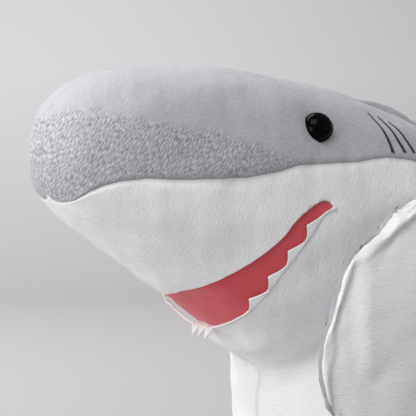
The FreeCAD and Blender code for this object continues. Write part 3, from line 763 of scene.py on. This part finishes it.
def buildGill(grid, line, side, number):
    look = gillLook
    sign = 1.0 if side == "Left" else -1.0
    curve = lipCurve(line, 120)
    spots = np.array([sideSpot(x, z) for x, z in curve])
    path, out = onBody(grid, spots[:, 0], spots[:, 1], sign)
    for _ in range(10):
        path[1:-1] = (path[:-2] + 2 * path[1:-1] + path[2:]) / 4
    t = np.linspace(0, 1, len(path))
    stitch = 0.06 * np.sin(np.arange(len(path)) * 2.6)
    width = (look["thin"] + (look["thick"] - look["thin"]) * t ** 0.8) * smoothStep(-0.01, 0.03, t) + stitch
    points, faces = ribbonMesh(path, out, width, look["raise"] + 0.35 * t[:, None])
    uv = np.stack([np.repeat(t * 50, 9), np.tile(np.linspace(0, 3, 9), len(path))], -1) * mm
    name = "gillStitch%s%d" % (side, number)
    piece = makePiece(name, points * mm, faces if sign < 0 else faces[:, ::-1], satinThread, uv)
    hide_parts("gill_stitch_%s_%d" % (side.lower(), number))
    return piece


# pectoral: height, centre x, distance from the middle, half chord, half thickness
pectoralRings = [(104, -46, 147, 6, 4), (116, -52, 148, 27, 11), (150, -56, 149, 52, 18),
                 (190, -51, 150, 75, 22),
                 (240, -44.5, 151, 96, 23.5), (285, -32.5, 150, 95.5, 22.5), (322, -21, 147, 86, 19),
                 (346, -5, 143, 71, 14), (362, 4, 137.5, 58, 10), (372, 14, 135.5, 39, 7), (378, 22, 134.5,
                                                                                            18, 4)]
rightFinSweep = 0.55
# dorsal: height over its root line, front, rear, half thickness
dorsalRings = [(-30, -42, 140, 8), (-12, -18, 134, 11), (-4, 0, 131, 12), (4, 25, 129, 13),
               (22, 45, 122, 14.5),
               (44, 66, 119, 13.5), (66, 89, 121, 10.5), (84, 108, 127, 6.5), (92, 118, 129, 3)]
dorsalFront, dorsalSlope = (43, 450), -41.8
# tail fin: height, front x, rear x, half thickness
caudalRings = [(14, 697, 711, 2), (20, 690, 711, 4), (32, 680, 708, 7), (48, 667, 702, 10),
               (66, 659, 696, 12),
               (82, 657, 690, 9), (112, 660, 700, 13), (135, 668, 712, 12), (160, 688, 728, 10),
               (185, 711, 745, 7), (204, 731, 756, 4), (212, 742, 758, 2)]
finLook = {"around": 88, "rows": 70, "edgeSink": 0.5, "wrinkle": 0.9, "pressure": 3.0, "cap": 7.0}


def finRows(kind):
    rows = []
    if kind in ("Left", "Right"):
        for z, x, y, half, thick in pectoralRings:
            sweep = rightFinSweep * max(364 - z, 0) if kind == "Right" else 0
            sign = -1 if kind == "Left" else 1
            rows.append([x + sweep, sign * y, z, 1, 0, 0, 0, sign, 0, half, thick])
    elif kind == "Dorsal":
        slope = math.radians(dorsalSlope)
        ax, az = math.cos(slope), math.sin(slope)
        for tall, front, rear, thick in dorsalRings:
            middle = (front + rear) / 2
            rows.append([dorsalFront[0] + ax * middle - az * tall, 0,
                         dorsalFront[1] + az * middle + ax * tall,
                         ax, 0, az, 0, -1, 0, (rear - front) / 2, thick])
    else:
        rows = [[(front + rear) / 2, 0, z, 1, 0, 0, 0, -1, 0, (rear - front) / 2, thick] for z, front,
                rear, thick in caudalRings]
    return np.array(rows, float)


def finGrid(kind):
    rows = catmull(finRows(kind), np.linspace(0, len(finRows(kind)) - 1, finLook["rows"]))
    turn = np.arange(finLook["around"]) * 2 * math.pi / finLook["around"]
    c = np.sign(np.cos(turn)) * np.abs(np.cos(turn)) ** 0.9
    n = np.sign(np.sin(turn)) * np.abs(np.sin(turn)) ** 0.9
    half, thick = np.maximum(rows[:, 9:10], 1), np.maximum(rows[:, 10:11], 0.6)
    chord, bulge = (half * c)[..., None], (thick * n)[..., None]
    points = rows[:, None, 0:3] + rows[:, None, 3:6] * chord + rows[:, None, 6:9] * bulge
    return points.reshape(-1, 3), gridFaces(finLook["rows"], finLook["around"], True)


def closeEnds(points, faces):
    # pole points at both ends, so the padding is a closed form
    around, rows = finLook["around"], finLook["rows"]
    first, last = points[:around].mean(0), points[-around:].mean(0)
    count = len(points)
    ring = np.arange(around)
    nextOne = (ring + 1) % around
    caps = [(count, int(b), int(a)) for a, b in zip(ring, nextOne)]
    top = (rows - 1) * around
    caps += [(count + 1, int(top + a), int(top + b)) for a, b in zip(ring, nextOne)]
    return np.concatenate([points, [first, last]]), [tuple(f) for f in faces] + caps


def puffUp(points, faces, pinned, pressure, cap):
    # blows the padding up as cloth and keeps at most cap mm of the movement
    mesh = bpy.data.meshes.new("padding")
    mesh.from_pydata([tuple(p) for p in points * mm], [], [tuple(int(v) for v in f) for f in faces])
    soft = bpy.data.objects.new("padding", mesh)
    bpy.context.scene.collection.objects.link(soft)
    held = soft.vertex_groups.new(name="sewn")
    held.add([int(v) for v in np.nonzero(pinned)[0]], 1.0, "REPLACE")
    cloth = soft.modifiers.new("cloth", "CLOTH")
    cloth.settings.quality = 6
    cloth.settings.mass = 0.25
    cloth.settings.tension_stiffness = cloth.settings.compression_stiffness = 12
    cloth.settings.bending_stiffness = 0.4
    cloth.settings.use_pressure = True
    cloth.settings.uniform_pressure_force = pressure
    cloth.settings.shrink_min = -0.035
    cloth.settings.vertex_group_mass = "sewn"
    cloth.settings.effector_weights.gravity = 0
    cloth.collision_settings.use_collision = False
    for step in range(1, 21):
        bpy.context.scene.frame_set(step)
    shaped = soft.evaluated_get(bpy.context.evaluated_depsgraph_get())
    moved = np.array([v.co for v in shaped.data.vertices], float) / mm
    bpy.context.scene.frame_set(1)
    bpy.data.objects.remove(soft)
    shift = moved - points
    size = np.linalg.norm(shift, axis=1)[:, None]
    return points + shift * np.minimum(1, cap / np.maximum(size, 1e-6)) * (size < 60)


def finFold(kind, points, turn):
    # on the outer face: the stuffing ends in a soft upright ridge, and a crease crosses below it
    x, z = points[:, 0] - rightFinSweep * np.maximum(364 - points[:, 2],
                                                     0) * (kind == "Right"), points[:, 2]
    outer = smoothStep(0.1, 0.6, np.sin(turn * 2 * math.pi / finLook["around"]))
    ridge = np.interp(z, [225, 250, 278, 301, 317, 330], [-109, -112, -111.5, -110, -106, -98])
    window = smoothStep(222, 245, z) * smoothStep(338, 318, z)
    fold = (2.2 * np.exp(-((x - ridge - 8) / 8) ** 2) - 1.9 * np.exp(-((x - ridge + 3) / 4.5) ** 2)) * window
    a, d = np.array([-108, 222]), np.array([31, 19])
    t = np.clip(((x - a[0]) * d[0] + (z - a[1]) * d[1]) / (d @ d), 0, 1)
    gap = np.hypot(x - a[0] - t * d[0], z - a[1] - t * d[1])
    fold -= 2.2 * np.exp(-(gap / 4) ** 2) * smoothStep(0, 0.2, t) * smoothStep(1.0, 0.7, t)
    return fold * outer


def shapeFin(kind, seed):
    look = finLook
    around = look["around"]
    points, faces = finGrid(kind)
    turn = np.tile(np.arange(around), look["rows"])
    row = np.repeat(np.arange(look["rows"]), around) / (look["rows"] - 1)
    edge = np.minimum(np.minimum(turn, around - turn), np.abs(turn - around // 2))
    closed, allFaces = closeEnds(points, faces)
    if kind in ("Left", "Right"):
        root = np.exp(-((points[:, 0] - 10) / 50) ** 4 - ((points[:, 2] - 350) / 21) ** 4)
        sewn = row > 0.86
    elif kind == "Dorsal":
        root, sewn = row * 0, row < 0.3
    else:
        root, sewn = row * 0, np.abs(row - 0.43) < 0.06
    pinned = np.concatenate([sewn | (edge == 0), [True, True]])
    closed = puffUp(closed, allFaces, pinned, look["pressure"], look["cap"])
    points = closed[:-2]
    normals = vertexNormals(points, faces)
    middle = points.mean(0)
    if ((points - middle) * normals).sum(1).mean() < 0:
        faces, normals = faces[:, ::-1], -normals
    lift = look["wrinkle"] * softNoise(points, 55, seed) + 0.35 * softNoise(points, 15, seed + 1)
    lift = lift + 0.5 * softNoise(points, 11, seed + 2, 1) * np.exp(-(edge / 3.0) ** 2)
    lift -= look["edgeSink"] * np.exp(-(edge / 1.1) ** 2)
    if kind in ("Left", "Right"):
        lift += finFold(kind, points, turn)
    points = points + normals * lift[:, None]
    if kind in ("Left", "Right"):
        inner = smoothStep(-0.2, 0.5, -np.sin(turn * 2 * math.pi / around))
        towards = 1 if kind == "Left" else -1
        points[:, 1] += towards * 27 * root * inner
    return points, faces


def buildFin(kind, seed, covers):
    look = finLook
    around = look["around"]
    points, faces = shapeFin(kind, seed)
    closed, allFaces = closeEnds(points, faces)
    normals = vertexNormals(points, faces)
    normals = np.concatenate([normals, [normals[:around].mean(0), normals[-around:].mean(0)]])
    normals /= np.linalg.norm(normals, axis=1)[:, None]
    spine = np.linalg.norm(np.diff(points.reshape(look["rows"], around, 3).mean(1), axis=0), axis=1)
    along = np.concatenate([[0], np.cumsum(spine)])
    ringed = points.reshape(look["rows"], around, 3)
    aroundRun = np.cumsum(np.linalg.norm(np.diff(ringed, axis=1, prepend=ringed[:, :1]), axis=2), axis=1)
    uv = np.stack([np.repeat(along, around), aroundRun.ravel()], -1) * mm
    uv = np.concatenate([uv, uv[:1], uv[-1:]])
    turn = np.arange(around)
    # painted shade: a darker line along the sewn edges of the fin covers, where the seam lies in shade
    edge = np.tile(np.exp(-(np.minimum(np.minimum(turn, around - turn),
                                       np.abs(turn - around // 2)) / 0.9) ** 2), look["rows"])
    shade = np.concatenate([0.5 * edge, [0, 0]])
    pieces = []
    for name, material, nodes, slotName, firstHalf in covers:
        chosen = []
        for f in allFaces:
            columns = [v % around for v in f if v < len(points)]
            low = all(c <= around // 2 for c in columns)
            if low == firstHalf:
                chosen.append(f)
        used = sorted({int(v) for f in chosen for v in f})
        place = {v: k for k, v in enumerate(used)}
        piece = makePiece(name, closed[used] * mm, [tuple(place[int(v)] for v in f) for f in chosen],
                          material,
                          uv[used], normals[used], {"ruffle": np.zeros(len(used)), "shade": shade[used]})
        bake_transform(piece)
        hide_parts(*nodes)
        pieces.append(piece)
    return pieces


def neckBlend(piece):
    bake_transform(piece)


def tailBlend(piece):
    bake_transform(piece)


def buildShark():
    grid = shapeBody(bodyGrid())
    data = markBody(grid)
    print("body surface shaped:", len(data), "points")
    skins = buildSkins(grid, data)
    standsFor = {
        "greyBackLeft": (["head_back_left", "trunk_back_left"], "grey_pile"),
        "greyBackRight": (["head_back_right", "trunk_back_right"], "grey_pile"),
        "greyTailLeft": (["tail_back_left"], "grey_pile"), "greyTailRight": (["tail_back_right"],
                                                                             "grey_pile"),
        "whiteTail": (["tail_belly", "tail_stuffing"], "white_pile"), "bellyPanel": (["belly_gusset"],
                                                                                     "white_pile"),
        "chestAndSides": (["trunk_side_left", "trunk_side_right", "trunk_stuffing"], "white_pile"),
        "whiteMuzzle": (["snout_under", "head_stuffing"], "white_pile"), "chinAndThroat": (["chin"],
                                                                                           "white_pile"),
        "mouthLining": (["mouth_lining"], "lining")}
    for name, piece in skins.items():
        nodes, slotName = standsFor[name]
        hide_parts(*nodes)
        (tailBlend if "Tail" in name else neckBlend)(piece) if name != "bellyPanel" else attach(piece,
                                                                                                 "trunk")
    print("sewn panels made:", len(skins))
    strip = buildTeeth(grid)
    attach(strip, "head")
    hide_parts("tooth_strip")
    for side in ("Left", "Right"):
        buildEye(grid, side)
        for number, line in enumerate(gillLines):
            neckBlend(buildGill(grid, line, side, number + 1))
    print("teeth, eyes and gills made")


def buildFins():
    for side, sign in (("Left", -1), ("Right", 1)):
        low = side.lower()
        buildFin(side, 31 if side == "Left" else 47,
                 [("pectoralOuter" + side, whitePile, ["pectoral_outer_" + low, "pectoral_padding_" + low],
                   "white_pile", True),
                  ("pectoralInner" + side, greyPile, ["pectoral_inner_" + low], "grey_pile", False)])
    buildFin("Dorsal", 61, [("dorsalLeft", greyPile, ["dorsal_cover_left", "dorsal_padding"], "grey_pile",
                             True),
                            ("dorsalRight", greyPile, ["dorsal_cover_right"], "grey_pile", False)])
    buildFin("Tail", 73, [("tailFinLeft", greyPile, ["caudal_cover_left", "caudal_padding"], "grey_pile",
                           True),
                          ("tailFinRight", greyPile, ["caudal_cover_right"], "grey_pile", False)])
    print("fins made")


def paintWashers():
    for name in ("eye_washer_left", "eye_washer_right"):
        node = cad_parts[name]
        node.data.materials.clear()
        node.data.materials.append(washerPlastic)


viewLook = {"azimuth": -30.0, "elevation": 3.0, "distance": 1.3, "width": 0.362,
            "aim": (-0.157, 0.0, 0.359)}


def makeCamera():
    look = viewLook
    a, e = math.radians(look["azimuth"]), math.radians(look["elevation"])
    back = np.array([math.sin(a) * math.cos(e), -math.cos(a) * math.cos(e), math.sin(e)])
    camera = bpy.data.objects.new("camera", bpy.data.cameras.new("camera"))
    bpy.context.scene.collection.objects.link(camera)
    camera.data.sensor_width = 36
    camera.data.lens = 36 * look["distance"] / look["width"]
    camera.data.clip_start, camera.data.clip_end = 0.05, 30
    camera.location = np.array(look["aim"]) + back * look["distance"]
    camera.rotation_euler = (math.pi / 2 - e, 0, a)
    bpy.context.scene.camera = camera


lightLook = {"world": 0.38, "key": 19.0, "fill": 1.5, "rim": 10.0, "left": 8.0, "front": 8.5, "wall": 100.0}


def addLight(name, place, aim, size, power, colour="#FFFFFF"):
    data = bpy.data.lights.new(name, "AREA")
    data.shape, data.size, data.size_y, data.energy = "RECTANGLE", size[0], size[1], power
    data.color = linearColour(colour)[:3]
    lamp = bpy.data.objects.new(name, data)
    bpy.context.scene.collection.objects.link(lamp)
    lamp.location = place
    way = np.array(aim) - np.array(place)
    lamp.rotation_euler = (math.atan2(math.hypot(way[0], way[1]), -way[2]), 0,
                           math.atan2(way[1], way[0]) - math.pi / 2)


def makeStudio():
    scene = bpy.context.scene
    scene.view_settings.view_transform = "Standard"
    world = bpy.data.worlds.new("studio")
    world.use_nodes = True
    world.node_tree.nodes["Background"].inputs["Color"].default_value = linearColour("#F4F5F8")
    world.node_tree.nodes["Background"].inputs["Strength"].default_value = lightLook["world"]
    scene.world = world
    addLight("keyLight", (-1.2, -0.8, 2.0), (-0.15, 0, 0.35), (1.2, 1.2), lightLook["key"])
    addLight("fillLight", (0.9, -1.7, 0.7), (0, 0, 0.25), (1.4, 1.2), lightLook["fill"])
    addLight("rimLight", (-0.8, 1.1, 1.7), (-0.1, 0, 0.45), (1.6, 0.8), lightLook["rim"])
    addLight("frontLight", (-1.95, -0.75, 0.5), (-0.15, -0.1, 0.3), (0.8, 0.8), lightLook["front"])
    addLight("leftLight", (-1.6, 0.5, 0.7), (-0.25, 0, 0.4), (0.5, 1.0), lightLook["left"])
    addLight("wallLight", (-0.6, 1.2, 2.6), (0.2, 3.6, 0.6), (1.6, 1.0), lightLook["wall"])
    # one sweep of pale paper: floor, curve and wall, with painted shade making the floor darker than the wall
    profile = [(-3.0, 0.0), (2.4, 0.0)] + [(2.4 + 0.9 * math.sin(t),
                                            0.9 - 0.9 * math.cos(t)) for t in np.linspace(0.1, math.pi / 2,
                                                                                          14)] + [(3.3,
                                                                                                   4.0)]
    rows = np.array([[x, y, z + seatZ] for y, z in profile for x in np.linspace(-6, 6, 9)])
    turn = math.radians(viewLook["azimuth"])
    spin = np.array([[math.cos(turn), -math.sin(turn), 0], [math.sin(turn), math.cos(turn), 0], [0, 0, 1]])
    paper, tree, shader = newMaterial("paleBackdropPaper", 0.9, Specular_IOR_Level=0.1)
    place = addNode(tree, "ShaderNodeTexCoord").outputs["Object"]
    height = addNode(tree, "ShaderNodeSeparateXYZ", {"Vector": place}).outputs["Z"]
    rise = addNode(tree, "ShaderNodeMapRange", {"Value": height, "From Min": seatZ - 0.1,
                                                "From Max": seatZ + 0.6}).outputs[0]
    # painted shade: the paper colour goes darker from the wall down to the floor
    paperShadeTone = addNode(tree, "ShaderNodeMix", {"Factor": rise, "A": linearColour("#A6A4A5"),
                                           "B": linearColour("#BFBDBE")}, data_type="RGBA").outputs["Result"]
    tree.links.new(paperShadeTone, shader.inputs["Base Color"])
    sweep = makePiece("paperSweep", rows @ spin.T, gridFaces(len(profile), 9, False), paper)


makeCamera()
buildShark()
buildFins()
paintWashers()
makeStudio()
